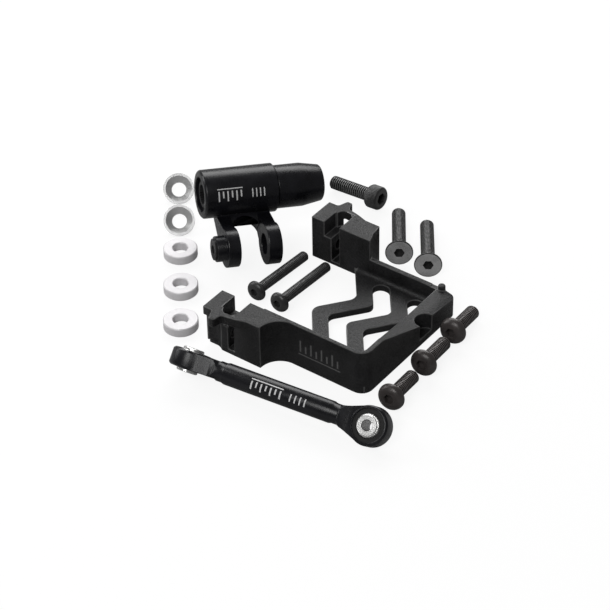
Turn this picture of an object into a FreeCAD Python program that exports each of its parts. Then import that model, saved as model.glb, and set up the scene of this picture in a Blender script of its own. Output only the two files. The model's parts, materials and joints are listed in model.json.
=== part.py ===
import math
import os

from FreeCAD import Placement, Rotation, Vector
import Part

# A steering-servo mount kit for a 1:4 scale motorcycle, laid out on a bench.
# Millimetres, +Z up.  The layout is drawn with X = 0 on the bracket's outer jaw face, Y = 0 on the
# inner face of its front block and Z = 0 on the bench; at the end everything is shifted so that the
# origin is the bottom centre of the whole kit's box.

# ---- bracket ---------------------------------------------------------------------------------
SERVO_LENGTH = 41.0          # clear bay between the two jaw blocks
BRACKET_HEIGHT = 14.0
BRACKET_LENGTH = 48.0        # jaw face to outer face of the right wall
JAW_X = (0.0, 4.4, 6.8, 9.6, 18.2)   # jaw face, pocket side, slot side, slot side, block end
JAW_DEPTH = 7.3              # block depth outward from the bay
FLANGE_Z = 11.2              # underside of the strap that ties the two jaws
POCKET_Z = 9.0               # floor of the ear pocket
WINDOW_Z = (1.5, 11.2)
SLOT_FLOOR = 1.2
WALL = 1.5
FRONT_WALL = 1.1
WALL_FRONT_Y = -0.8          # outer face of the front wall
REAR_WALL_Z = 7.4
WEB_Z = 7.2
WEB_INNER_X = 42.4
FACET_DROP = 1.1
FLOOR = 2.2
CORNER_RADIUS = 3.6
STRUT_WIDTH = 5.7            # measured along X
STRUT_PITCH = 11.7
STRUT_SLOPE = 0.77           # sideways step per millimetre of depth
STRUT_LOW = (18.2, 19.8)     # first bend of the first strut
STRUT_HIGH_Y = 30.2          # second bend
STRUT_BEND_R = 3.0
GAP_CORNER_R = 2.2
TIGHT_CORNER_R = 1.0
REAR_FILLET = 1.2            # concave radius between the floor and the rear wall
SCREW_NOTCH = (47.6, 28.0, 2.9)      # x, y, radius of the driver notch in the right wall
JAW_BORE = (3.8, 5.0, 1.6)   # depth into the block, height, radius of the ear-screw bore
EAR_TAP_R = 1.25             # M3 tapping drill radius
EAR_TAP_DEPTH = 3.6
BASE_TAP = (15.6, 3.6, 1.65, 9.0)    # x, depth into the block, M4 tapping drill radius, depth

# ---- servo saver -----------------------------------------------------------------------------
SLEEVE_R = 7.0
SLEEVE_LENGTH = 21.5
SLEEVE_BORE_R = 5.0
SPIGOT_R = 5.5
SPIGOT_END = 26.0
CAP_R = 6.25
CAP_TAPER_X = 29.7
CAP_END_X = 35.8
CAP_END_R = 5.2
HUB_R = 4.0
SPLINE_R = 2.95
SPLINE_TEETH = 25
FIT = 0.05                   # radial running clearance
ARM_REACH = 17.3
ARM_ROOT_Z = (-4.6, -0.4)    # lower and upper face of the arms where they leave the sleeve
ARM_EYE_Z = 4.4              # upper edge of an arm where it meets its eye
LEFT_ARM_X = (3.7, 7.3)
RIGHT_ARM_X = (15.4, 19.3)
LEFT_EYE_R = 5.6
RIGHT_EYE_R = 5.9
RIGHT_EYE_HOLE_R = 3.0
BOSS_R = 3.7
BOSS_LENGTH = 2.7
INSERT_COLLAR = (3.1, 0.6)   # radius and thickness
INSERT_R = 2.6
ARM_THREAD_R = 1.25

# ---- steering link ---------------------------------------------------------------------------
LINK_CENTRES = 55.0
LINK_ROD_R = 3.0
LINK_NECK_R = 2.75
LINK_EYE_R = 5.4
LINK_EYE_THICK = 5.0
BALL_R = 4.0
BALL_FACE = 3.3              # half width over the ball's collars
BALL_COLLAR_R = 2.9
BALL_HALF = 2.6              # half width of the round part of a ball
BALL_BORE_R = 1.55
LINER_R = 4.5
LINER_HALF = 2.1

# ---- washers and screws ----------------------------------------------------------------------
FLAT_WASHER = (4.9, 2.15, 2.8)        # outer radius, hole radius, thickness
CUP_WASHER = (4.6, 2.15, 2.4)
M3 = 1.5
M4 = 2.0
HEX_M3 = 1.0                 # half the socket width of an M3 button head
HEX_M4 = 1.25
HEX_M4_CAP = 1.5
SCREW_TIP = 0.5              # chamfer at the end of a shank

# ---- places on the bench: x, y, heading in degrees --------------------------------------------
SAVER_PLACE = (-30.2, 28.5, 53.0)
SAVER_TILT = 5.5             # how far the cap end hangs below level
ARM_HANG = 30.0              # how far the arms hang below level
LINK_PLACE = (4.8, -20.5, 6.5)
LINK_ROLL = -43.0
CUP_WASHER_PLACES = [(-49.6, 42.2), (-39.7, 30.1)]
FLAT_WASHER_PLACES = [(-30.9, 19.5), (-20.5, 6.7), (-10.5, -5.8)]
CAP_SCREW_PLACE = (3.4, 70.6, 178.0)
COUNTERSUNK_PLACES = [(22.5, 52.1, 125.0), (32.4, 52.1, 125.0)]
LONG_SCREW_PLACES = [(-0.8, 14.7, 89.5), (7.5, 14.3, 90.0)]
SHORT_SCREW_PLACES = [(54.3, 30.4, 96.5), (55.4, 14.6, 96.5), (56.3, -1.9, 96.5)]
VIEW_SIDE = -53.0            # heading that the cup washers lean towards

X_AXIS = Vector(1, 0, 0)
Y_AXIS = Vector(0, 1, 0)
Z_AXIS = Vector(0, 0, 1)
parts = {}
placements = {}


# ---- helpers ---------------------------------------------------------------------------------
def box(x0, y0, z0, x1, y1, z1):
    return Part.makeBox(x1 - x0, y1 - y0, z1 - z0, Vector(x0, y0, z0))


def rod(radius, x0, x1):
    """Cylinder along local X."""
    return Part.makeCylinder(radius, x1 - x0, Vector(x0, 0, 0), X_AXIS)


def post(radius, x, y, z0, z1):
    return Part.makeCylinder(radius, z1 - z0, Vector(x, y, z0), Z_AXIS)


def prism(points, z0, z1):
    """Upright prism over a closed polygon."""
    ring = Part.makePolygon([Vector(x, y, z0) for x, y in points + points[:1]])
    return Part.Face(ring).extrude(Vector(0, 0, z1 - z0))


def turned(profile):
    """Solid of revolution about local X from (x, radius) points."""
    ring = Part.makePolygon([Vector(x, r, 0) for x, r in profile + profile[:1]])
    return Part.Face(ring).revolve(Vector(0, 0, 0), X_AXIS, 360)


def hexagon(half_width, x0, x1):
    """Hexagonal socket cutter along local X."""
    corner = half_width / math.cos(math.pi / 6)
    points = [Vector(x0, corner * math.cos(a), corner * math.sin(a))
              for a in (i * math.pi / 3 for i in range(6))]
    face = Part.Face(Part.makePolygon(points + points[:1]))
    return face.extrude(Vector(x1 - x0, 0, 0))


def union(shapes):
    return shapes[0].multiFuse(shapes[1:]).removeSplitter()


def edges_where(shape, test):
    return [edge for edge in shape.Edges if test(edge)]


def is_vertical(edge):
    ends = edge.Vertexes
    if len(ends) != 2:
        return False
    span = ends[1].Point - ends[0].Point
    return span.Length > 0.5 and abs(span.z) > 0.999 * span.Length


def near(edge, x, y, reach=0.05):
    point = edge.Vertexes[0].Point
    return abs(point.x - x) < reach and abs(point.y - y) < reach


def round_corners(shape, corners, radius):
    """Fillet the vertical edges that stand at the given (x, y) corners."""
    chosen = edges_where(shape, lambda e: is_vertical(e) and any(near(e, x, y) for x, y in corners))
    return shape.makeFillet(radius, chosen) if chosen else shape


def settled(shape, spot, turn):
    """Placement that turns a shape and lowers it until it touches the bench."""
    probe = shape.copy()
    probe.Placement = Placement(spot, turn)
    lift = -probe.optimalBoundingBox(False).ZMin
    return Placement(spot + Vector(0, 0, lift), turn)


def add(name, shape, placement=None):
    """Store one named piece, moved to its place."""
    piece = shape.copy()
    if placement is not None:
        piece.Placement = placement.multiply(piece.Placement)
    parts[name] = piece


# ---- bracket ---------------------------------------------------------------------------------
def jaw_block():
    """Front jaw block, with its bay face on Y = 0 and the strap flange on its outer side."""
    left, pocket, slot_in, slot_out, end = JAW_X
    body = box(left, -JAW_DEPTH, 0, end, 0, BRACKET_HEIGHT)
    flange = prism([(0, -4), (0, -8.6), (3.1, -8.6), (4.2, -11.7), (6.0, -11.7), (6.5, -9.1),
                    (10.4, -8.3), (13.6, -JAW_DEPTH), (13.6, -4)], FLANGE_Z, BRACKET_HEIGHT)
    flange = round_corners(flange, [(3.1, -8.6), (6.5, -9.1)], 0.9)
    flange = round_corners(flange, [(4.2, -11.7), (6.0, -11.7)], 0.7)
    block = union([body, flange])
    scallop = post(3.4, 2.6, -JAW_DEPTH - 2.55, 0, FLANGE_Z)
    slot = box(slot_in, -JAW_DEPTH - 0.3, SLOT_FLOOR, slot_out, 1, BRACKET_HEIGHT + 1)
    pocket_cut = box(pocket, -5.6, POCKET_Z, slot_out, 1, BRACKET_HEIGHT + 1)
    pocket_end = post(2.2, slot_in + 0.4, -5.4, POCKET_Z, BRACKET_HEIGHT + 1)
    strap_gap = box(slot_in, -JAW_DEPTH - 1, FLANGE_Z, slot_out, -7.4, BRACKET_HEIGHT + 1)
    window = box(slot_in + 0.4, -JAW_DEPTH - 2, WINDOW_Z[0], slot_out - 0.3, 0, WINDOW_Z[1])
    shin = box(slot_in, -JAW_DEPTH, 0, slot_out, -JAW_DEPTH + 0.8, BRACKET_HEIGHT)
    block = block.cut(scallop).cut(slot.cut(shin.cut(window))).cut(pocket_cut).cut(pocket_end)
    block = block.cut(window).fuse(strap_gap.common(flange))
    depth, height, radius = JAW_BORE
    clearance = Part.makeCylinder(radius, slot_in + 1, Vector(-1, -depth, height), X_AXIS)
    tapped = Part.makeCylinder(EAR_TAP_R, EAR_TAP_DEPTH, Vector(slot_out, -depth, height), X_AXIS)
    block = block.cut(clearance).cut(tapped)
    x, depth, radius, length = BASE_TAP
    return block.cut(post(radius, x, -depth, -1, length))


def mirrored(shape):
    """The same block facing the other way across the servo bay."""
    return shape.mirror(Vector(0, SERVO_LENGTH / 2, 0), Y_AXIS)


def rear_heel():
    """Oblique end that the rear block carries beyond the front one."""
    return prism([(JAW_X[4] - 0.4, SERVO_LENGTH), (20.2, SERVO_LENGTH), (18.9, 44.6),
                  (18.4, SERVO_LENGTH + JAW_DEPTH), (JAW_X[4] - 0.4, SERVO_LENGTH + JAW_DEPTH)],
                 0, BRACKET_HEIGHT)


def outer_walls():
    """Front wall, right wall and low rear wall as one thin ring."""
    x0, x1 = JAW_X[4], BRACKET_LENGTH
    y0, y1 = WALL_FRONT_Y, SERVO_LENGTH + WALL
    outside = prism([(x0 - 4, y0), (x1, y0), (x1, y1), (x0 - 4, y1)], 0, BRACKET_HEIGHT)
    outside = round_corners(outside, [(x1, y0)], CORNER_RADIUS)
    front = y0 + FRONT_WALL
    inside = prism([(x0 - 4, front), (x1 - WALL, front), (x1 - WALL, 8), (WEB_INNER_X, 25),
                    (WEB_INNER_X, SERVO_LENGTH), (x0 - 4, SERVO_LENGTH)], -1, BRACKET_HEIGHT + 1)
    inside = round_corners(inside, [(x1 - WALL, front)], CORNER_RADIUS - WALL)
    ring = outside.cut(inside)
    low = [(7.6, BRACKET_HEIGHT), (25.0, WEB_Z), (y1 + 1, WEB_Z), (y1 + 1, 20), (7.6, 20)]
    outline = Part.makePolygon([Vector(WEB_INNER_X - 2, y, z) for y, z in low + low[:1]])
    ramp = Part.Face(outline).extrude(Vector(BRACKET_LENGTH, 0, 0))
    rear_cut = box(x0 - 5, SERVO_LENGTH - 0.5, REAR_WALL_Z, WEB_INNER_X, y1 + 1, 20)
    return ring.cut(ramp).cut(rear_cut)


def block_blend():
    """Concave quarter that runs from the front block's end into the front wall."""
    radius = 6.0
    x, y = JAW_X[4], WALL_FRONT_Y
    corner = box(x - 0.5, y - radius, 0, x + radius, y + 0.5, BRACKET_HEIGHT)
    return corner.cut(post(radius, x + radius, y - radius, -1, BRACKET_HEIGHT + 1))


def strut_edge(side, y):
    """X of the first strut's left (-1) or right (1) edge at depth y."""
    x, low = STRUT_LOW
    high_y = STRUT_HIGH_Y
    if y < low:
        x += STRUT_SLOPE * (low - y)
    elif y < high_y:
        x += STRUT_SLOPE * (y - low)
    else:
        x += STRUT_SLOPE * (2 * high_y - low - y)
    return x + side * STRUT_WIDTH / 2


def strut_side(side, offset, y0, y1):
    """Corner points of one strut edge between two depths, front to back."""
    depths = [y0] + [y for y in (STRUT_LOW[1], STRUT_HIGH_Y) if y0 < y < y1] + [y1]
    return [(strut_edge(side, y) + offset, y) for y in depths]


def rear_fillet():
    """Concave blend between the floor and the rear wall."""
    x0, x1 = strut_edge(-1, SERVO_LENGTH - REAR_FILLET), WEB_INNER_X + 1
    y, z = SERVO_LENGTH - REAR_FILLET, FLOOR + REAR_FILLET
    foot = box(x0, y, FLOOR - 1, x1, SERVO_LENGTH + 0.5, z)
    return foot.cut(Part.makeCylinder(REAR_FILLET, x1 - x0 + 2, Vector(x0 - 1, y, z), X_AXIS))


def bracket_floor():
    """Floor plate with rounded gaps that leave two zigzag struts, blended into the rear wall."""
    front, rear = WALL_FRONT_Y + FRONT_WALL, SERVO_LENGTH - 1.7
    left = strut_side(-1, 0, front, SERVO_LENGTH + 0.5)
    right = BRACKET_LENGTH - 1
    plate = prism(left + [(right, SERVO_LENGTH + 0.5), (right, front)], 0, FLOOR)
    plate = round_corners(plate, left[1:3], STRUT_BEND_R).fuse(rear_fillet())
    between = strut_side(1, 0, front, rear) + strut_side(-1, STRUT_PITCH, front, rear)[::-1]
    wall_x = BRACKET_LENGTH - WALL
    tip = STRUT_LOW[1] - (wall_x - STRUT_PITCH - strut_edge(1, STRUT_LOW[1])) / STRUT_SLOPE
    side = strut_side(1, STRUT_PITCH, tip, 28.0)
    lower = side + [(WEB_INNER_X, 28.0), (WEB_INNER_X, 25), (wall_x, 8)]
    side = strut_side(1, STRUT_PITCH, 32.0, rear)
    upper = side + [(WEB_INNER_X, rear), (WEB_INNER_X, 32.0)]
    for gap, corners in ((between, between[1:7]), (lower, lower[1:2]), (upper, upper[1:3])):
        hole = round_corners(prism(gap, -1, REAR_WALL_Z), corners, GAP_CORNER_R)
        tight = [corner for corner in gap if corner not in corners]
        plate = plate.cut(round_corners(hole, tight, TIGHT_CORNER_R))
    return plate


def rear_lug():
    """Thick rear-right corner with a sloping outer facet and a small round nib."""
    x1, y1 = BRACKET_LENGTH, SERVO_LENGTH + WALL
    lug = round_corners(box(WEB_INNER_X, 31.2, 0, x1, y1, WEB_Z), [(x1, y1)], 1.6)
    inner, outer = Vector(43.6, y1, WEB_Z), Vector(x1, 31.2, WEB_Z)
    drop = Vector(x1, y1, WEB_Z - FACET_DROP)
    facet = Part.Face(Part.makePolygon([inner, outer, drop, inner])).extrude(Vector(2.0, 1.0, 4.0))
    lug = lug.cut(facet)
    nib = post(1.05, WEB_INNER_X + 1.2, y1 - 0.4, 0, WEB_Z + 1.3)
    return lug, nib.makeFillet(0.5, edges_where(nib, lambda e: e.BoundBox.ZMin > WEB_Z + 1))


def bracket():
    """The whole one-piece bracket, with a driver notch in the right wall and a foot relief."""
    front = jaw_block()
    rear = mirrored(front).fuse(rear_heel())
    lug, nib = rear_lug()
    walls = outer_walls().cut(box(WEB_INNER_X, 31.2, -1, 60, 60, 20))
    whole = union([front, rear, walls, block_blend(), bracket_floor(), lug, nib])
    x, y, radius = SCREW_NOTCH
    notch = post(radius, x, y, FLOOR, 20).fuse(box(x, y - radius, FLOOR, x + 5, y + radius, 20))
    whole = whole.cut(notch)
    whole = whole.cut(box(-1, -20, -1, 3.4, -JAW_DEPTH + 0.9, 1.6))
    return whole


# ---- servo saver -----------------------------------------------------------------------------
def arm(x0, x1, eye_radius):
    """Flat lever arm from the sleeve's lower side towards local -Y, widening to a round end."""
    low, high = ARM_ROOT_Z
    root = -SLEEVE_R + 3.0
    outline = [(root, low), (root, high), (-SLEEVE_R - 0.5, high), (-ARM_REACH + 4.0, ARM_EYE_Z - 1.0),
               (-ARM_REACH, ARM_EYE_Z), (-ARM_REACH, low)]
    ring = Part.makePolygon([Vector(x0, y, z) for y, z in outline + outline[:1]])
    stem = Part.Face(ring).extrude(Vector(x1 - x0, 0, 0))
    eye = Part.makeCylinder(eye_radius, x1 - x0, Vector(x0, -ARM_REACH, 0), X_AXIS)
    return union([stem, eye])


def arm_bridge():
    """Curved web that joins the two arms below the sleeve."""
    x0, x1 = LEFT_ARM_X[1] - 0.5, RIGHT_ARM_X[0] + 0.5
    low, high = ARM_ROOT_Z
    plate = box(x0, -SLEEVE_R - 4.0, low, x1, -SLEEVE_R + 3.0, high)
    arch = Part.makeCylinder((x1 - x0) / 2 - 0.5, 20, Vector((x0 + x1) / 2, -SLEEVE_R - 5.0, -10), Z_AXIS)
    return plate.cut(arch)


def lever_sleeve():
    tube = turned([(0, SLEEVE_BORE_R), (0, SLEEVE_R - 0.5), (0.5, SLEEVE_R), (SLEEVE_LENGTH, SLEEVE_R),
                   (SLEEVE_LENGTH, SPIGOT_R), (SPIGOT_END, SPIGOT_R), (SPIGOT_END, SLEEVE_BORE_R)])
    boss_foot = Vector(LEFT_ARM_X[0] - BOSS_LENGTH, -ARM_REACH, 0)
    boss = Part.makeCylinder(BOSS_R, BOSS_LENGTH, boss_foot, X_AXIS)
    arms = [arm(*LEFT_ARM_X, LEFT_EYE_R), arm(*RIGHT_ARM_X, RIGHT_EYE_R), arm_bridge(), boss]
    sleeve = union([tube] + arms).cut(rod(SLEEVE_BORE_R, -1, SPIGOT_END + 1))
    insert_bore = Part.makeCylinder(INSERT_R, 20, Vector(-10, -ARM_REACH, 0), X_AXIS)
    sleeve = sleeve.cut(insert_bore)
    return sleeve.cut(Part.makeCylinder(RIGHT_EYE_HOLE_R, 20, Vector(10, -ARM_REACH, 0), X_AXIS))


def arm_insert():
    """Threaded steel insert in the left arm, with a thin collar outside the boss."""
    x0, x1 = LEFT_ARM_X[0] - BOSS_LENGTH, LEFT_ARM_X[1]
    collar, thick = INSERT_COLLAR
    body = turned([(x0 - thick, 0), (x0 - thick, collar), (x0, collar),
                   (x0, INSERT_R), (x1, INSERT_R), (x1, 0)])
    body = body.cut(rod(ARM_THREAD_R, x0 - 2, x1 + 1))
    body.translate(Vector(0, -ARM_REACH, 0))
    return body


def splined_bore(depth):
    """Internal spline cutter: a fine toothed star along local X."""
    points = []
    for i in range(2 * SPLINE_TEETH):
        radius = SPLINE_R if i % 2 == 0 else SPLINE_R - 0.28
        angle = i * math.pi / SPLINE_TEETH
        points.append(Vector(-1, radius * math.cos(angle), radius * math.sin(angle)))
    face = Part.Face(Part.makePolygon(points + points[:1]))
    return face.extrude(Vector(depth + 1, 0, 0))


def spline_hub():
    """Hub that turns on the servo shaft, with a flange behind the inner bushing."""
    hub = turned([(0.7, 0), (0.7, HUB_R - 0.3), (1.0, HUB_R), (14.3, HUB_R), (14.3, 4.8), (16.0, 4.8),
                  (16.0, 0)])
    return hub.cut(splined_bore(6.5)).cut(rod(1.6, 0, 20))


def bushing(x0, x1):
    return rod(SLEEVE_BORE_R, x0, x1).cut(rod(HUB_R + FIT, x0 - 1, x1 + 1))


def cam_collar():
    return rod(4.8, 16.3, 18.6).cut(rod(2.2, 16, 19))


def saver_spring():
    """Compression spring: a round wire swept along a helix, between collar and cap."""
    pitch, height, radius, wire = 2.4, 9.6, 3.9, 0.5
    helix = Part.makeHelix(pitch, height, radius)
    start = Vector(radius, 0, 0)
    tangent = Vector(0, 2 * math.pi * radius, pitch)
    section = Part.Wire(Part.makeCircle(wire, start, tangent))
    coil = Part.Wire(helix).makePipeShell([section], True, True)
    coil.rotate(Vector(0, 0, 0), Y_AXIS, 90)
    coil.translate(Vector(20.2, 0, 0))
    return coil


def end_cap():
    cap = turned([(SLEEVE_LENGTH + 0.15, SPIGOT_R + FIT), (SLEEVE_LENGTH + 0.15, CAP_R - 0.3),
                  (SLEEVE_LENGTH + 0.45, CAP_R), (CAP_TAPER_X, CAP_R), (CAP_END_X - 0.4, CAP_END_R + 0.05),
                  (CAP_END_X, CAP_END_R - 0.4), (CAP_END_X, 0), (31.0, 0), (31.0, 4.9),
                  (SPIGOT_END + 0.3, 4.9), (SPIGOT_END + 0.3, SPIGOT_R + FIT)])
    return cap.cut(hexagon(1.5, CAP_END_X - 2.5, CAP_END_X + 1))


def saver_placement():
    """Stands on the ends of its arms, which hang below the sleeve."""
    x, y, heading = SAVER_PLACE
    lean = Rotation(Y_AXIS, SAVER_TILT).multiply(Rotation(X_AXIS, ARM_HANG))
    return Placement(Vector(x, y, 0), Rotation(Z_AXIS, heading).multiply(lean))


def build_saver():
    pieces = {
        "lever_sleeve": lever_sleeve(),
        "arm_insert": arm_insert(),
        "spline_hub": spline_hub(),
        "front_bushing": bushing(1.2, 4.2),
        "inner_bushing": bushing(11.0, 14.0),
        "cam_collar": cam_collar(),
        "saver_spring": saver_spring(),
        "end_cap": end_cap(),
    }
    place = saver_placement()
    place = settled(pieces["lever_sleeve"], place.Base, place.Rotation)
    placements["saver"] = place
    for name, shape in pieces.items():
        add(name, shape, place)


# ---- steering link ---------------------------------------------------------------------------
def eye_housing(x, inward, axis):
    """Eye ring with chamfered rims and a flat neck that flares into it from the rod."""
    half = LINK_EYE_THICK / 2
    ring = Part.makeCylinder(LINK_EYE_R, LINK_EYE_THICK, Vector(x, 0, -half), Z_AXIS)
    ring = ring.makeChamfer(0.5, edges_where(ring, lambda e: e.Closed))
    flare = [(9.5 * i / 8, LINK_NECK_R + (5.0 - LINK_NECK_R) * (0.5 + 0.5 * math.cos(math.pi * i / 8)))
             for i in range(9)] + [(12.0, LINK_NECK_R)]
    outline = [(x + inward * px, py) for px, py in flare + [(px, -py) for px, py in reversed(flare)]]
    neck = prism(outline, -half + 0.1, half - 0.1)
    cone = turned([(0, 0), (0, 6.5), (4.0, 6.5), (9.0, LINK_NECK_R), (12.0, LINK_NECK_R), (12.0, 0)])
    if inward < 0:
        cone.rotate(Vector(0, 0, 0), Z_AXIS, 180)
    cone.translate(Vector(x, 0, 0))
    housing = ring.fuse(neck.common(cone))
    if axis == Y_AXIS:
        housing.rotate(Vector(x, 0, 0), X_AXIS, 90)
    return housing


def link_rod():
    """Turned rod between two flat-necked eyes, whose axes are at right angles."""
    span = LINK_CENTRES
    half = [(9.0, 0), (9.0, LINK_NECK_R), (10.8, LINK_NECK_R), (11.6, LINK_ROD_R)]
    shaft = turned(half + [(span - px, radius) for px, radius in reversed(half)])
    body = union([shaft, eye_housing(0, 1, Z_AXIS), eye_housing(span, -1, Y_AXIS)])
    body = body.cut(Part.makeCylinder(LINER_R, 20, Vector(0, 0, -10), Z_AXIS))
    return body.cut(Part.makeCylinder(LINER_R, 20, Vector(span, -10, 0), Y_AXIS))


def ball_liner(x, axis):
    """Plastic race around a ball, spherical inside."""
    ring = Part.makeCylinder(LINER_R, 2 * LINER_HALF, Vector(x, 0, 0) - axis * LINER_HALF, axis)
    return ring.cut(Part.makeSphere(BALL_R + FIT, Vector(x, 0, 0)))


def link_ball(x, axis):
    """Steel pivot ball with a collar on each side and a bolt bore."""
    middle = Vector(x, 0, 0)
    band = Part.makeCylinder(BALL_R + 1, 2 * BALL_HALF, middle - axis * BALL_HALF, axis)
    collars = Part.makeCylinder(BALL_COLLAR_R, 2 * BALL_FACE, middle - axis * BALL_FACE, axis)
    collars = collars.makeChamfer(0.2, edges_where(collars, lambda e: e.Closed))
    bore = Part.makeCylinder(BALL_BORE_R, 20, middle - axis * 10, axis)
    return Part.makeSphere(BALL_R, middle).common(band).fuse(collars).cut(bore).removeSplitter()


def build_link():
    x, y, heading = LINK_PLACE
    turn = Rotation(Z_AXIS, heading).multiply(Rotation(X_AXIS, LINK_ROLL))
    body = link_rod()
    place = settled(body, Vector(x, y, 0), turn)
    placements["link"] = place
    add("link_rod", body, place)
    for side, at, axis in (("left", 0, Z_AXIS), ("right", LINK_CENTRES, Y_AXIS)):
        add(side + "_ball_liner", ball_liner(at, axis), place)
        add(side + "_ball", link_ball(at, axis), place)


# ---- washers ---------------------------------------------------------------------------------
def build_washers():
    radius, hole, thick = FLAT_WASHER
    ring = post(radius, 0, 0, 0, thick).cut(post(hole, 0, 0, -1, thick + 1))
    ring = ring.makeChamfer(0.25, edges_where(ring, lambda e: e.Closed))
    for number, (x, y) in enumerate(FLAT_WASHER_PLACES, 1):
        place = Placement(Vector(x, y, 0), Rotation())
        placements["flat_washer_%d" % number] = place
        add("flat_washer_%d" % number, ring, place)
    radius, hole, height = CUP_WASHER
    cup = turned([(0, hole), (0, radius - height + 0.4), (height - 0.4, radius), (height, radius),
                  (height, radius - 0.7), (0.9, hole + 0.05), (0.9, hole)])
    for number, (x, y) in enumerate(CUP_WASHER_PLACES, 1):
        turn = Rotation(Z_AXIS, VIEW_SIDE).multiply(Rotation(Y_AXIS, -45))
        place = settled(cup, Vector(x, y, 0), turn)
        placements["cup_washer_%d" % number] = place
        add("cup_washer_%d" % number, cup, place)


# ---- screws: built along local X, head face at x = 0, tip at the far end ------------------------
def shank(radius, head, length):
    """Plain shank at the thread's outer size, with a chamfered tip."""
    end = head + length
    return turned([(head - 0.3, 0), (head - 0.3, radius), (end - SCREW_TIP, radius),
                   (end, radius - SCREW_TIP), (end, 0)])


def cap_head_screw():
    head, radius = 4.0, 3.5
    top = turned([(0, 0), (0, radius - 0.4), (0.4, radius), (head, radius), (head, 0)])
    return top.fuse(shank(M4, head, 14.0)).cut(hexagon(HEX_M4_CAP, -1, 2.2)).removeSplitter()


def countersunk_screw():
    radius, head = 4.0, 2.4
    top = turned([(0, 0), (0, radius - 0.15), (0.25, radius), (0.5, radius), (head, M4), (head, 0)])
    return top.fuse(shank(M4, head, 19.6)).cut(hexagon(HEX_M4, -1, 1.5)).removeSplitter()


def button_screw(thread, radius, head, socket, length):
    """Domed head drawn as a circular arc from the rim to a small flat."""
    flat = socket + 0.5
    rim = head - 0.35
    middle = Vector(0.24 * rim, (flat + radius) / 2 + 0.22 * radius, 0)
    dome = Part.Arc(Vector(0, flat, 0), middle, Vector(rim, radius, 0)).toShape()
    corners = [(rim, radius), (head, radius), (head, 0), (0, 0), (0, flat)]
    back = Part.makePolygon([Vector(x, r, 0) for x, r in corners])
    outline = Part.Wire([dome] + back.Edges)
    top = Part.Face(outline).revolve(Vector(0, 0, 0), X_AXIS, 360)
    return top.fuse(shank(thread, head, length)).cut(hexagon(socket, -1, 0.62 * head)).removeSplitter()


def lay_screw(name, shape, place, rim, tip):
    """Rest a screw on its head rim and its tip: rim and tip are (x, radius)."""
    x, y, heading = place
    drop = math.degrees(math.atan2(rim[1] - tip[1], tip[0] - rim[0]))
    turn = Rotation(Z_AXIS, heading).multiply(Rotation(Y_AXIS, drop))
    placements[name] = settled(shape, Vector(x, y, 0), turn)
    add(name, shape, placements[name])


def build_screws():
    lay_screw("cap_head_screw", cap_head_screw(), CAP_SCREW_PLACE, (0.4, 3.5), (17.5, M4))
    for number, place in enumerate(COUNTERSUNK_PLACES, 1):
        lay_screw("countersunk_screw_%d" % number, countersunk_screw(), place, (0.25, 4.0), (21.5, M4))
    long_screw = button_screw(M3, 2.95, 1.7, HEX_M3, 22.0)
    for number, place in enumerate(LONG_SCREW_PLACES, 1):
        lay_screw("long_screw_%d" % number, long_screw, place, (1.35, 2.95), (23.2, M3))
    short_screw = button_screw(M4, 3.8, 2.2, HEX_M4, 12.0)
    for number, place in enumerate(SHORT_SCREW_PLACES, 1):
        lay_screw("short_screw_%d" % number, short_screw, place, (1.85, 3.8), (13.7, M4))


def origin_shift():
    """Move that puts the origin at the bottom centre of the whole kit's box."""
    low = Vector(1e9, 1e9, 1e9)
    high = Vector(-1e9, -1e9, -1e9)
    for shape in parts.values():
        size = shape.optimalBoundingBox(False)
        low = Vector(min(low.x, size.XMin), min(low.y, size.YMin), min(low.z, size.ZMin))
        high = Vector(max(high.x, size.XMax), max(high.y, size.YMax), max(high.z, size.ZMax))
    return Vector(-(low.x + high.x) / 2, -(low.y + high.y) / 2, -low.z)


add("servo_bracket", bracket())
build_saver()
build_link()
build_washers()
build_screws()
shift = origin_shift()
os.makedirs("parts", exist_ok=True)
for name, shape in parts.items():
    shape.translate(shift)
    shape.exportStep("parts/%s.step" % name)
    print("%-22s solids %d valid %s volume %.1f" % (name, len(shape.Solids), shape.isValid(), shape.Volume))
print("shift", shift)
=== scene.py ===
import json
import math
from collections import namedtuple

import bmesh
import bpy
from mathutils import Matrix, Vector
from mathutils.bvhtree import BVHTree


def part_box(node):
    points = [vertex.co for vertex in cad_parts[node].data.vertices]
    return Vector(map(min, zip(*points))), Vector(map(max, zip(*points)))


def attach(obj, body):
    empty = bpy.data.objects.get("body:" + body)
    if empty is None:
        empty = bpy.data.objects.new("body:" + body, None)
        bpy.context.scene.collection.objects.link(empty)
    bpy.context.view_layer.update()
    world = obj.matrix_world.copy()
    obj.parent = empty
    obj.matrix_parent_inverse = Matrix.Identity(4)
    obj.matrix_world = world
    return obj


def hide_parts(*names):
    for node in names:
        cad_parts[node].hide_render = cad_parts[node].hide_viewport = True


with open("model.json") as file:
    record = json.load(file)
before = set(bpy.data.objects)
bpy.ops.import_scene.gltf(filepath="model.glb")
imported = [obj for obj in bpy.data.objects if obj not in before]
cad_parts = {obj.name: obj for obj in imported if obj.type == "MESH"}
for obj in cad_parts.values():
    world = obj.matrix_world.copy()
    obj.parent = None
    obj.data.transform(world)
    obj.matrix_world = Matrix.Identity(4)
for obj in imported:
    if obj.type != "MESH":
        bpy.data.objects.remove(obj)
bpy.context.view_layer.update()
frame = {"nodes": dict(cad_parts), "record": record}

# Steering servo mount kit.  All sizes are metres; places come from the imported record's mounts.
MM = 0.001
record = frame["record"]
nodes = frame["nodes"]
mounts = {mount["name"]: mount for mount in record["mounts"]}
body_of = {node: body for body, members in record["behaviour"]["bodies"].items() for node in members}

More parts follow.
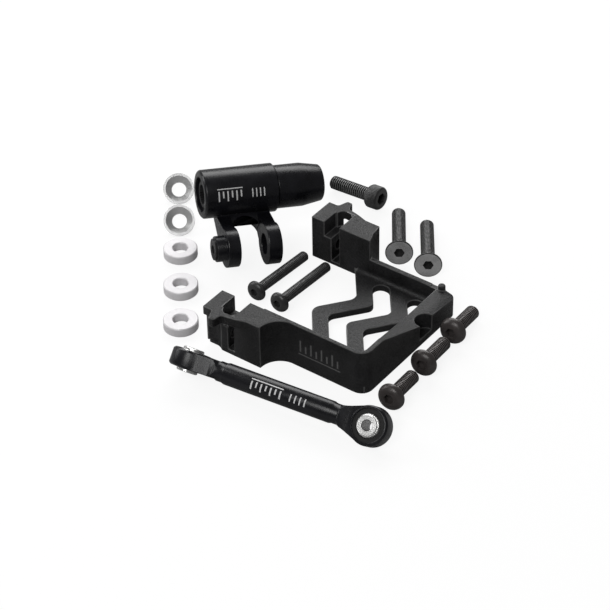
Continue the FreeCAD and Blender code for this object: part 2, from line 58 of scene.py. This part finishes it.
# Camera: direction and distance of the view, and the point that it looks at.
VIEW_AZIMUTH = 37.04
VIEW_ELEVATION = 38.6
VIEW_ROLL = -1.06
VIEW_DISTANCE = 0.6576
VIEW_TARGET = Vector((0.01004, -0.00835, 0.0058))
LENS = 141.3
SENSOR = 36.0

# Light: soft boxes as (name, position, size, watts), and how bright the floor and the room are.
LIGHTS = [("back_box", (-0.42, 0.56, 0.56), (0.9, 0.5), 6.5),
          ("front_fill", (0.15, -0.75, 0.85), (0.5, 0.5), 5.0),
          ("left_box", (-0.8, -0.2, 0.45), (0.3, 0.6), 2.5)]
WORLD_LIGHT = 0.16
FLOOR_GLOW = 0.88
FLOOR_SHADE = 0.13
FLOOR_BOUNCE = 0.4
FLOOR_REACH = 3.0            # half the width of the floor

# Widths of the broken edges on the bracket, on the sleeve, and on the cap and the rod.
MILLED_EDGE = 0.22 * MM
SLEEVE_EDGE = 0.18 * MM
TURNED_EDGE = 0.15 * MM
BEVEL_ANGLE = 28.0           # edges sharper than this many degrees are broken
WELD = 0.002 * MM            # corners of the CAD mesh nearer than this are one corner
COPLANAR = 0.6               # faces within this many degrees are one face
EDGE_SMOOTH = 24.0           # shading is smooth across edges flatter than this many degrees

# Marks.
MARK_LIFT = 0.015 * MM       # they stand this far off the surface, to stay visible
MARK_DEPTH = 0.05 * MM       # and reach this far into it
MARK_STEPS = 6               # lengths in one stroke, so that it bends round a bar
# Sizes of the pieces under the marks, which the mounts don't state.
SLEEVE_RADIUS = 7.0 * MM
SPLINE_MIDDLE = 3.5 * MM     # from the sleeve's open end to the middle of the spline
ROD_RADIUS = 3.0 * MM
BRACKET_LENGTH = 48.0 * MM
WALL_BACK = 0.7 * MM         # from the base face's point back to the front wall's outer face
# Rows of ticks as (start, pitch, count, width, foot, heights), then a line as (u0, v0, u1, v1), in mm.
BRACKET_TICKS = [(26.6, 1.75, 8, 0.5, 5.6, (3.8, 2.4))]
BRACKET_LINE = (26.2, 4.6, 40.0, 4.95)
SLEEVE_TICKS = [(3.7, 1.3, 6, 0.4, 0.2, (2.9, 1.9)), (13.6, 1.15, 4, 0.32, 0.1, (2.5,))]
SLEEVE_LINE = (3.5, -0.6, 10.9, -0.32)
ROD_TICKS = [(20.2, 1.45, 7, 0.45, -0.7, (2.3, 1.5)), (32.0, 1.45, 4, 0.36, -0.9, (2.1,))]
ROD_LINE = (20.0, -1.45, 29.6, -1.15)

# Screws: thread radius and pitch, head radius and height, half width and depth of the socket.
ScrewSize = namedtuple("ScrewSize", "thread pitch radius head socket socket_depth")
M4_CAP = ScrewSize(2.0 * MM, 0.7 * MM, 3.5 * MM, 4.0 * MM, 1.5 * MM, 2.1 * MM)
M4_COUNTERSUNK = ScrewSize(2.0 * MM, 0.7 * MM, 4.0 * MM, 2.4 * MM, 1.25 * MM, 1.5 * MM)
M3_BUTTON = ScrewSize(1.5 * MM, 0.5 * MM, 2.95 * MM, 1.7 * MM, 1.0 * MM, 1.0 * MM)
M4_BUTTON = ScrewSize(2.0 * MM, 0.7 * MM, 3.8 * MM, 2.2 * MM, 1.25 * MM, 1.3 * MM)
ROUND = 48                   # points round a screw
KNURL_ROUND = 96             # points round the knurled screw
KNURL_DEPTH = 0.16 * MM
TIP = 0.5 * MM               # chamfered tip beyond the shank that a mount states
FACE_BAND = 0.02 * MM        # how far behind x = 0 a face still counts as the head's face
NECK = 0.1 * MM              # from under the head to the first thread face
DOME_STEPS = 8               # steps along a button head's arc
SCREW_SMOOTH = 38.0          # shading is smooth across edges flatter than this many degrees
THREAD_STEPS = 12            # rings along one pitch
# The thread's profile, in pitches.
THREAD_DEPTH = 0.55
THREAD_ROOT = 0.12           # flat of the root
THREAD_FLANK = 0.38
THREAD_RUN_IN = 0.8          # length over which the thread deepens behind the head
THREAD_RUN_OUT = 0.4         # length over which it gets shallower at the tip
THREAD_END = 0.35            # share of the depth that is left at the tip
THREAD_CHAMFER = 0.7         # length of the tip's chamfer
CHAMFER_SLOPE = 0.8
ROOT_DEPTH = 0.1             # a thread face deeper than this counts as root and takes painted shade; the other thread faces take the crest's painted highlight

RING_SCALE = 2400.0          # wave texture scale that sets turning rings 0.13 mm apart
# Colour, roughness and metalness of the bright washers, and the balls' colour and roughness.
WASHER_LOOK = {"flat": ((0.74, 0.725, 0.74), 0.36, 0.05), "cup": ((0.50, 0.50, 0.50), 0.30, 0.35)}
BALL_LOOK = ((0.74, 0.74, 0.73), 0.3)


# ---- small mesh tools ----------------------------------------------------------------------------
def new_object(name, mesh, body, mat):
    """New piece that rides on a body."""
    obj = bpy.data.objects.new(name, mesh)
    bpy.context.scene.collection.objects.link(obj)
    obj.data.materials.append(mat)
    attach(obj, body)
    return obj


def smooth(mesh, angle):
    """Smooth shading with hard edges above an angle."""
    mesh.polygons.foreach_set("use_smooth", [True] * len(mesh.polygons))
    mesh.set_sharp_from_angle(angle=math.radians(angle))


def skin(loops):
    """Closed surface through rings of points, with a fan at each end."""
    mesh = bpy.data.meshes.new("skin")
    count = len(loops[0])
    points = [point for loop in loops for point in loop]
    faces = []
    for level in range(len(loops) - 1):
        a, b = level * count, (level + 1) * count
        for i in range(count):
            j = (i + 1) % count
            faces.append((a + i, a + j, b + j, b + i))
    for level, turn in ((0, True), (len(loops) - 1, False)):
        centre = len(points)
        points.append(sum(loops[level], Vector()) / count)
        for i in range(count):
            j = (i + 1) % count
            a, b = level * count + i, level * count + j
            faces.append((centre, b, a) if turn else (centre, a, b))
    mesh.from_pydata(points, [], faces)
    mesh.validate()
    return mesh


def ring(x, radius, count):
    """Ring of points round local X; radius is a number or a function of the angle."""
    points = []
    for i in range(count):
        angle = 2 * math.pi * i / count
        r = radius(angle) if callable(radius) else radius
        points.append(Vector((x, r * math.cos(angle), r * math.sin(angle))))
    return points


def hexagon(half_width):
    """Radius of a hexagon with the given half width, as a function of the angle."""
    def radius(angle):
        off = (angle % (math.pi / 3)) - math.pi / 6
        return half_width / math.cos(off)
    return radius


def axis_matrix(origin, direction):
    """Local X along a direction, local Y level."""
    x = Vector(direction).normalized()
    y = Vector((0, 0, 1)).cross(x).normalized()
    z = x.cross(y)
    turn = Matrix((x, y, z)).transposed().to_4x4()
    return Matrix.Translation(origin) @ turn


# ---- materials -----------------------------------------------------------------------------------
def material(name, colour, roughness, metallic=0.0, specular=0.5):
    """Plain material of one colour."""
    mat = bpy.data.materials.new(name)
    mat.use_nodes = True
    shader = mat.node_tree.nodes["Principled BSDF"]
    shader.inputs["Base Color"].default_value = (*colour, 1)
    shader.inputs["Roughness"].default_value = roughness
    shader.inputs["Metallic"].default_value = metallic
    shader.inputs["Specular IOR Level"].default_value = specular
    return mat


def add_node(mat, kind, **inputs):
    """Shader node with the given input values."""
    node = mat.node_tree.nodes.new(kind)
    for key, value in inputs.items():
        node.inputs[key].default_value = value
    return node


def grain(mat, size, strength, colours, rough):
    """Fine surface grain: bump, colour and roughness variation from noise of one size in metres."""
    tree = mat.node_tree
    shader = tree.nodes["Principled BSDF"]
    coordinates = tree.nodes.new("ShaderNodeTexCoord")
    fine = add_node(mat, "ShaderNodeTexNoise", Scale=1 / size, Detail=3.0, Roughness=0.6)
    broad = add_node(mat, "ShaderNodeTexNoise", Scale=0.06 / size, Detail=2.0, Roughness=0.5)
    for noise in (fine, broad):
        tree.links.new(coordinates.outputs["Object"], noise.inputs["Vector"])
    bump = add_node(mat, "ShaderNodeBump", Strength=strength, Distance=size * 0.5)
    tree.links.new(fine.outputs["Fac"], bump.inputs["Height"])
    tree.links.new(bump.outputs["Normal"], shader.inputs["Normal"])
    # mixed is the mean of the two noises.
    mixed = tree.nodes.new("ShaderNodeMath")
    mixed.operation = "MULTIPLY_ADD"
    mixed.inputs[1].default_value = 0.5
    tree.links.new(fine.outputs["Fac"], mixed.inputs[0])
    half = tree.nodes.new("ShaderNodeMath")
    half.operation = "MULTIPLY"
    half.inputs[1].default_value = 0.5
    tree.links.new(broad.outputs["Fac"], half.inputs[0])
    tree.links.new(half.outputs[0], mixed.inputs[2])
    ramp = tree.nodes.new("ShaderNodeValToRGB")
    ramp.color_ramp.elements[0].position = 0.32
    ramp.color_ramp.elements[1].position = 0.68
    ramp.color_ramp.elements[0].color = (*colours[0], 1)
    ramp.color_ramp.elements[1].color = (*colours[1], 1)
    tree.links.new(mixed.outputs[0], ramp.inputs["Fac"])
    tree.links.new(ramp.outputs["Color"], shader.inputs["Base Color"])
    spread = tree.nodes.new("ShaderNodeMapRange")
    spread.inputs["From Min"].default_value = 0.3
    spread.inputs["From Max"].default_value = 0.7
    spread.inputs["To Min"].default_value = rough[0]
    spread.inputs["To Max"].default_value = rough[1]
    tree.links.new(mixed.outputs[0], spread.inputs["Value"])
    tree.links.new(spread.outputs["Result"], shader.inputs["Roughness"])
    return mat


def blasted_black():
    """Bead-blasted black anodised aluminium."""
    mat = material("black_blasted", (0.01, 0.01, 0.01), 0.46, specular=0.34)
    return grain(mat, 0.0005, 1.0, ((0.001, 0.001, 0.001), (0.028, 0.028, 0.029)), (0.30, 0.56))


def highlight_edge():
    """Slightly paler black on the bracket's broken edges: a painted highlight along them, on inner edges
    as well.
    """
    mat = material("black_edge_painted_highlight", (0.09, 0.09, 0.09), 0.32, metallic=0.2, specular=0.5)
    return grain(mat, 0.0003, 0.1, ((0.05, 0.05, 0.05), (0.13, 0.13, 0.13)), (0.28, 0.40))


def satin_black():
    """Turned black anodised aluminium."""
    mat = material("black_satin", (0.006, 0.006, 0.008), 0.3, specular=0.36)
    return grain(mat, 0.00022, 0.2, ((0.003, 0.003, 0.004), (0.009, 0.009, 0.012)), (0.22, 0.36))


def black_oxide(name, tint):
    """Oiled steel of one tint."""
    mat = material(name, tint, 0.42, metallic=0.2, specular=0.42)
    dark = tuple(channel * 0.55 for channel in tint)
    return grain(mat, 0.00025, 0.3, (dark, tint), (0.24, 0.38))


def polymer():
    """Black acetal of the bushings and ball races."""
    mat = material("black_acetal", (0.006, 0.006, 0.006), 0.5, specular=0.3)
    return grain(mat, 0.0003, 0.1, ((0.005, 0.005, 0.005), (0.009, 0.009, 0.009)), (0.45, 0.6))


def turned_silver(name, centre, axis, colour, rough, metallic=1.0):
    """Bright metal with fine turning rings round one axis through a centre."""
    mat = material(name, colour, rough, metallic=metallic)
    tree = mat.node_tree
    shader = tree.nodes["Principled BSDF"]
    coordinates = tree.nodes.new("ShaderNodeTexCoord")
    mapping = tree.nodes.new("ShaderNodeMapping")
    mapping.vector_type = "POINT"
    turn = Vector(axis).rotation_difference(Vector((0, 0, 1))).to_matrix().to_4x4()
    moved = turn @ Vector(centre)
    mapping.inputs["Rotation"].default_value = turn.to_euler()
    mapping.inputs["Location"].default_value = -moved
    tree.links.new(coordinates.outputs["Object"], mapping.inputs["Vector"])
    rings = add_node(mat, "ShaderNodeTexWave", Scale=RING_SCALE, Distortion=0.6, Detail=2.0)
    rings.wave_type = "RINGS"
    rings.rings_direction = "Z"
    tree.links.new(mapping.outputs["Vector"], rings.inputs["Vector"])
    bump = add_node(mat, "ShaderNodeBump", Strength=0.12, Distance=0.00003)
    tree.links.new(rings.outputs["Fac"], bump.inputs["Height"])
    tree.links.new(bump.outputs["Normal"], shader.inputs["Normal"])
    spread = add_node(mat, "ShaderNodeMapRange")
    spread.inputs["To Min"].default_value = rough * 0.8
    spread.inputs["To Max"].default_value = rough * 1.25
    tree.links.new(rings.outputs["Fac"], spread.inputs["Value"])
    tree.links.new(spread.outputs["Result"], shader.inputs["Roughness"])
    return mat


def mark_material(name, colour):
    """Matt colour of the marks."""
    mat = material(name, colour, 0.6, specular=0.4)
    bright = tuple(min(1.0, channel * 1.25) for channel in colour)
    return grain(mat, 0.00012, 0.1, (colour, bright), (0.5, 0.7))


# ---- milled and turned pieces: the CAD shape with its edges broken -------------------------------
def pull_back(shaped, mesh, width):
    """Move the corners that the bevel threw off the old surface back on to it."""
    tree = BVHTree.FromPolygons([v.co for v in mesh.vertices], [p.vertices for p in mesh.polygons])
    for vertex in shaped.vertices:
        point, _, _, distance = tree.find_nearest(vertex.co)
        if distance > width:
            vertex.co = point


def broken_edges(node, name, mat, edge_mat, width):
    """Copy of a CAD node whose sharp edges carry a small bevel."""
    mesh = nodes[node].data.copy()
    mesh.materials.clear()
    work = bmesh.new()
    work.from_mesh(mesh)
    bmesh.ops.remove_doubles(work, verts=work.verts, dist=WELD)
    flat = math.radians(COPLANAR)
    bmesh.ops.dissolve_limit(work, angle_limit=flat, verts=work.verts, edges=work.edges)
    work.to_mesh(mesh)
    work.free()
    obj = new_object(name, mesh, body_of[node], mat)
    obj.data.materials.append(edge_mat)
    bevel = obj.modifiers.new("edges", "BEVEL")
    bevel.width = width
    bevel.segments = 2
    bevel.limit_method = "ANGLE"
    bevel.angle_limit = math.radians(BEVEL_ANGLE)
    bevel.use_clamp_overlap = False
    # The bevel's faces take the second material: on the bracket a paler black, a painted highlight along
    # its edges; on the other pieces the same satin.
    bevel.material = 1
    bpy.context.view_layer.update()
    evaluated = obj.evaluated_get(bpy.context.evaluated_depsgraph_get())
    shaped = bpy.data.meshes.new_from_object(evaluated)
    obj.modifiers.clear()
    obj.data = shaped
    pull_back(shaped, mesh, width)
    smooth(shaped, EDGE_SMOOTH)
    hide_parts(node)


# ---- screws --------------------------------------------------------------------------------------
def thread_rings(start, end, size, count):
    """Rings that trace a right-hand thread by shifting its profile round the axis."""
    radius, pitch = size.thread, size.pitch
    depth = THREAD_DEPTH * pitch
    rings = []
    total = int(round((end - start) / pitch * THREAD_STEPS))
    for k in range(total + 1):
        x = start + (end - start) * k / total
        run_in = (x - start) / (THREAD_RUN_IN * pitch)
        run_out = max(0.0, end - x) / (THREAD_RUN_OUT * pitch) + THREAD_END
        fade = min(1.0, run_in, run_out)
        chamfer = max(0.0, (x - (end - THREAD_CHAMFER * pitch))) * CHAMFER_SLOPE

        def radius_at(angle, x=x, fade=fade, chamfer=chamfer):
            phase = (x / pitch - angle / (2 * math.pi)) % 1.0
            wave = min(1.0, max(0.0, (abs(2 * phase - 1) - THREAD_ROOT) / THREAD_FLANK))
            return radius - depth * fade * (1 - wave) - chamfer
        rings.append(ring(x, radius_at, count))
    return rings


def socket_rings(half_width, depth, count):
    """Hexagonal socket from its conical bottom up to a small lead-in at the head face."""
    shape = hexagon(half_width)
    lead = hexagon(half_width * 1.07)
    return [ring(depth + half_width * 0.35, half_width * 0.05, count),
            ring(depth, lambda a: shape(a) * 0.97, count), ring(depth, shape, count),
            ring(0.12 * MM, shape, count), ring(0.0, lead, count)]


def button_profile(size):
    """Domed head as an arc from the face to the rim, as (x, radius) points."""
    radius, head = size.radius, size.head
    flat = size.socket * 1.25
    points = []
    for k in range(DOME_STEPS + 1):
        t = math.pi / 2 * k / DOME_STEPS
        points.append(((head - 0.4 * MM) * (1 - math.cos(t)), flat + (radius - flat) * math.sin(t)))
    return points + [(head - 0.15 * MM, radius), (head, radius - 0.12 * MM)]


def countersunk_profile(size):
    """Flat face with a small rounded rim, then the cone, as (x, radius) points."""
    radius = size.radius
    return [(0.0, radius - 0.25 * MM), (0.06 * MM, radius - 0.08 * MM), (0.2 * MM, radius),
            (0.4 * MM, radius), (0.55 * MM, radius - 0.1 * MM), (size.head, size.thread)]


def knurl(radius):
    """Straight knurling: every second point sits lower."""
    def at(angle):
        return radius - (KNURL_DEPTH if int(round(angle / (2 * math.pi) * KNURL_ROUND)) % 2 else 0.0)
    return at


def cap_profile(size):
    """Rounded face, then a knurled side, as (x, radius) points."""
    radius, head = size.radius, size.head
    return [(0.0, radius - 0.75 * MM), (0.05 * MM, radius - 0.45 * MM), (0.35 * MM, radius - 0.14 * MM),
            (0.6 * MM, knurl(radius)), (head - 0.45 * MM, knurl(radius)),
            (head - 0.25 * MM, radius - KNURL_DEPTH), (head, radius - 0.3 * MM)]


def screw(node, size, profile, mats, count=ROUND):
    """One screw laid on its mount's axis: socket, head and threaded shank as one skin.

    mats holds the finish of the head, the thread roots (painted shade), the head's face (a painted sheen
    on the countersunk screws) and the thread crests (painted highlight)."""
    mount = mounts[node + "_shank"]
    length = mount["dims"]["length_mm"] * MM
    axis = Vector(mount["axis"])
    head, thread = size.head, size.thread
    origin = Vector(mount["pos_m"]) - axis * (length / 2 + head)
    loops = socket_rings(size.socket, size.socket_depth, count)
    loops += [ring(x, radius, count) for x, radius in profile(size)]
    loops.append(ring(head, thread, count))
    loops += thread_rings(head + FACE_BAND, head + length + TIP, size, count)
    mesh = skin(loops)
    for face in mesh.polygons:
        corners = [mesh.vertices[i].co for i in face.vertices]
        x = sum(co.x for co in corners) / len(corners)
        low = min(math.hypot(co.y, co.z) for co in corners)
        # Painted light on the thread: deep faces take the root's painted shade (1), the others the
        # crest's painted highlight (3).
        if x > head + NECK:
            face.material_index = 1 if low < thread - ROOT_DEPTH * size.pitch else 3
        # The head's face takes material 2, a painted sheen on the countersunk screws.
        elif x < FACE_BAND and low > size.socket:
            face.material_index = 2
    mesh.transform(axis_matrix(origin, axis))
    smooth(mesh, SCREW_SMOOTH)
    obj = new_object(node + "_threaded", mesh, node, mats[0])
    for extra in mats[1:]:
        obj.data.materials.append(extra)
    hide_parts(node)


def build_screws():
    """The eight screws; a countersunk screw's face is painted paler than the rest of its head as a
    painted sheen, thread roots carry painted shade and thread crests a painted highlight.
    """
    oxide = black_oxide("oxide_black", (0.050, 0.050, 0.050))
    warm = black_oxide("oxide_warm", (0.070, 0.061, 0.059))
    # Thread roots: near-black, a painted shade in the grooves.
    root = material("oxide_root_painted_shade", (0.003, 0.003, 0.003), 0.7, specular=0.15)
    grain(root, 0.0003, 0.1, ((0.002, 0.002, 0.002), (0.004, 0.004, 0.004)), (0.6, 0.8))
    # Countersunk head face: pale grey, a painted sheen of reflected light.
    sheen_face = black_oxide("oxide_face_painted_sheen", (0.60, 0.60, 0.60))
    # Thread crests: paler than the head, a painted highlight.
    crest = black_oxide("oxide_crest_painted_highlight", (0.15, 0.15, 0.15))
    warm_crest = black_oxide("oxide_warm_crest_painted_highlight", (0.17, 0.152, 0.148))
    dark, pale = (oxide, root, oxide, crest), (oxide, root, sheen_face, crest)
    brown = (warm, root, warm, warm_crest)
    screw("cap_head_screw", M4_CAP, cap_profile, dark, KNURL_ROUND)
    for i in (1, 2):
        screw("countersunk_screw_%d" % i, M4_COUNTERSUNK, countersunk_profile, pale)
        screw("long_screw_%d" % i, M3_BUTTON, button_profile, dark)
    for i in (1, 2, 3):
        screw("short_screw_%d" % i, M4_BUTTON, button_profile, brown)


# ---- marks: plain lines and ticks ----------------------------------------------------------------
def mark(name, body, place, strokes, mat):
    """Thin raised strokes on a surface.

    place(u, v, lift) gives a point, and each stroke is (u0, v0, u1, v1)."""
    points, faces = [], []
    for u0, v0, u1, v1 in strokes:
        base = len(points)
        for k in range(MARK_STEPS + 1):
            v = v0 + (v1 - v0) * k / MARK_STEPS
            points += [place(u0, v, -MARK_DEPTH), place(u1, v, -MARK_DEPTH),
                       place(u1, v, MARK_LIFT), place(u0, v, MARK_LIFT)]
        for k in range(MARK_STEPS):
            a = base + 4 * k
            faces += [(a + i, a + (i + 1) % 4, a + 4 + (i + 1) % 4, a + 4 + i) for i in range(4)]
        end = base + 4 * MARK_STEPS
        faces += [(base + 3, base + 2, base + 1, base), (end, end + 1, end + 2, end + 3)]
    mesh = bpy.data.meshes.new(name)
    mesh.from_pydata(points, [], faces)
    mesh.validate()
    work = bmesh.new()
    work.from_mesh(mesh)
    bmesh.ops.recalc_face_normals(work, faces=work.faces)
    work.to_mesh(mesh)
    work.free()
    new_object(name, mesh, body, mat)


def round_surface(origin, along, radius):
    """Surface of a round bar; v runs round it from the line that faces the camera."""
    back = view_axes()[2]
    facing = (back - along * back.dot(along)).normalized()
    side = along.cross(facing)

    def place(u, v, lift):
        angle = v / radius
        return origin + along * u + (facing * math.cos(angle) + side * math.sin(angle)) * (radius + lift)
    return place


def ticks(u0, pitch, count, width, v0, heights):
    """Row of upright ticks, whose heights repeat."""
    return [(u0 + i * pitch, v0, u0 + i * pitch + width, v0 + heights[i % len(heights)])
            for i in range(count)]


def mark_strokes(rows, line):
    """Rows of ticks and a line, turned from millimetres into metres."""
    shapes = [stroke for row in rows for stroke in ticks(*row)] + [line]
    return [tuple(value * MM for value in stroke) for stroke in shapes]


def build_marks():
    """A dim scale on the bracket's front wall, and white ticks on the sleeve and on the rod."""
    bright = mark_material("mark_white", (0.62, 0.62, 0.62))
    dim = mark_material("mark_grey", (0.12, 0.12, 0.12))
    corner = Vector((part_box("servo_bracket")[1].x - BRACKET_LENGTH,
                     mounts["base_face"]["pos_m"][1] + WALL_BACK, 0))

    def wall(u, v, lift):
        return corner + Vector((u, -lift, v))
    mark("bracket_mark", "bracket", wall, mark_strokes(BRACKET_TICKS, BRACKET_LINE), dim)

    hub = mounts["hub_spline"]
    along = -Vector(hub["axis"])
    sleeve = round_surface(Vector(hub["pos_m"]) - along * SPLINE_MIDDLE, along, SLEEVE_RADIUS)
    mark("sleeve_mark", "saver", sleeve, mark_strokes(SLEEVE_TICKS, SLEEVE_LINE), bright)

    first = Vector(mounts["left_ball_bore"]["pos_m"])
    last = Vector(mounts["right_ball_bore"]["pos_m"])
    bar = round_surface(first, (last - first).normalized(), ROD_RADIUS)
    mark("rod_mark", "link", bar, mark_strokes(ROD_TICKS, ROD_LINE), bright)


# ---- finishes of the other pieces ----------------------------------------------------------------
def dress(node, mat):
    """Give a carried-over node its finish."""
    obj = nodes[node]
    obj.data.materials.clear()
    obj.data.materials.append(mat)


def dress_nodes():
    """Every piece but the screws and the marks: its finish, and broken edges on four of them."""
    satin = satin_black()
    dark = material("phosphated_steel", (0.03, 0.03, 0.03), 0.45, metallic=0.6)
    grain(dark, 0.00025, 0.2, ((0.02, 0.02, 0.02), (0.04, 0.04, 0.042)), (0.38, 0.52))
    wire = material("spring_wire", (0.5, 0.5, 0.48), 0.3, metallic=1.0)
    grain(wire, 0.0004, 0.1, ((0.4, 0.4, 0.39), (0.55, 0.55, 0.53)), (0.25, 0.38))
    plastic = polymer()
    # The bracket's broken edges carry a painted highlight.
    broken_edges("servo_bracket", "bracket_milled", blasted_black(), highlight_edge(), MILLED_EDGE)
    broken_edges("lever_sleeve", "sleeve_machined", satin, satin, SLEEVE_EDGE)
    broken_edges("end_cap", "cap_turned", satin, satin, TURNED_EDGE)
    broken_edges("link_rod", "rod_turned", satin, satin, TURNED_EDGE)
    for node in ("arm_insert", "spline_hub", "cam_collar"):
        dress(node, dark)
    dress("saver_spring", wire)
    for node in ("front_bushing", "inner_bushing", "left_ball_liner", "right_ball_liner"):
        dress(node, plastic)
    bright = [(side + "_ball", side + "_ball_bore", "ball_silver_" + side, BALL_LOOK)
              for side in ("left", "right")]
    for kind, count in (("flat", 3), ("cup", 2)):
        names = ["%s_washer_%d" % (kind, i) for i in range(1, count + 1)]
        bright += [(name, name + "_hole", "silver_" + name, WASHER_LOOK[kind]) for name in names]
    for node, hole, name, look in bright:
        dress(node, turned_silver(name, mounts[hole]["pos_m"], mounts[hole]["axis"], *look))


# ---- floor, light and camera ---------------------------------------------------------------------
def view_axes():
    """Directions of the picture's right and up, and back towards the camera."""
    azimuth, elevation, roll = (math.radians(a) for a in (VIEW_AZIMUTH, VIEW_ELEVATION, VIEW_ROLL))
    back = Vector((math.sin(azimuth) * math.cos(elevation), -math.cos(azimuth) * math.cos(elevation),
                   math.sin(elevation)))
    right = Vector((math.cos(azimuth), math.sin(azimuth), 0))
    up = back.cross(right)
    return (right * math.cos(roll) + up * math.sin(roll),
            up * math.cos(roll) - right * math.sin(roll), back)


def place_camera():
    """Camera at the view's direction and distance."""
    right, up, back = view_axes()
    data = bpy.data.cameras.new("camera")
    data.lens = LENS
    data.sensor_width = SENSOR
    data.clip_start = 0.01
    camera = bpy.data.objects.new("camera", data)
    turn = Matrix((right, up, back)).transposed().to_4x4()
    camera.matrix_world = Matrix.Translation(VIEW_TARGET + back * VIEW_DISTANCE) @ turn
    bpy.context.scene.collection.objects.link(camera)
    bpy.context.scene.camera = camera


def area_light(name, position, size, power):
    data = bpy.data.lights.new(name, "AREA")
    data.shape = "RECTANGLE"
    data.size, data.size_y = size
    data.energy = power
    light = bpy.data.objects.new(name, data)
    light.location = position
    light.rotation_euler = (-Vector(position)).to_track_quat("-Z", "Y").to_euler()
    bpy.context.scene.collection.objects.link(light)


def camera_only(tree, seen, other):
    """Mix of two shader outputs: one for what the camera sees, one for light and reflections."""
    path = tree.nodes.new("ShaderNodeLightPath")
    mix = tree.nodes.new("ShaderNodeMixShader")
    tree.links.new(path.outputs["Is Camera Ray"], mix.inputs["Fac"])
    tree.links.new(other, mix.inputs[1])
    tree.links.new(seen, mix.inputs[2])
    return mix.outputs["Shader"]


def floor_material():
    """White sweep: nearly shadowless to the camera, and a dim grey to the parts."""
    mat = bpy.data.materials.new("white_sweep")
    mat.use_nodes = True
    tree = mat.node_tree
    glow = add_node(mat, "ShaderNodeEmission", Color=(1, 1, 1, 1), Strength=FLOOR_GLOW)
    soft = add_node(mat, "ShaderNodeBsdfDiffuse", Color=(FLOOR_SHADE, FLOOR_SHADE, FLOOR_SHADE, 1))
    both = tree.nodes.new("ShaderNodeAddShader")
    tree.links.new(glow.outputs[0], both.inputs[0])
    tree.links.new(soft.outputs[0], both.inputs[1])
    dim = add_node(mat, "ShaderNodeBsdfDiffuse", Color=(FLOOR_BOUNCE, FLOOR_BOUNCE, FLOOR_BOUNCE, 1))
    output = tree.nodes["Material Output"]
    tree.links.new(camera_only(tree, both.outputs[0], dim.outputs[0]), output.inputs["Surface"])
    return mat


def build_world():
    """White to the camera, and a dim room to the parts."""
    world = bpy.data.worlds.new("studio")
    world.use_nodes = True
    tree = world.node_tree
    seen = tree.nodes["Background"]
    seen.inputs["Color"].default_value = (1, 1, 1, 1)
    seen.inputs["Strength"].default_value = 1.0
    dim = tree.nodes.new("ShaderNodeBackground")
    dim.inputs["Color"].default_value = (1, 1, 1, 1)
    dim.inputs["Strength"].default_value = WORLD_LIGHT
    output = tree.nodes["World Output"]
    tree.links.new(camera_only(tree, seen.outputs[0], dim.outputs[0]), output.inputs["Surface"])
    bpy.context.scene.world = world


def build_stage():
    """Plain floor, world and soft boxes."""
    bpy.context.scene.view_settings.view_transform = "Standard"
    reach = FLOOR_REACH
    mesh = bpy.data.meshes.new("floor")
    corners = [(-reach, -reach, 0), (reach, -reach, 0), (reach, reach, 0), (-reach, reach, 0)]
    mesh.from_pydata(corners, [], [(0, 1, 2, 3)])
    floor = bpy.data.objects.new("floor", mesh)
    bpy.context.scene.collection.objects.link(floor)
    floor.data.materials.append(floor_material())
    build_world()
    for light in LIGHTS:
        area_light(*light)


build_stage()
place_camera()
build_marks()
dress_nodes()
build_screws()
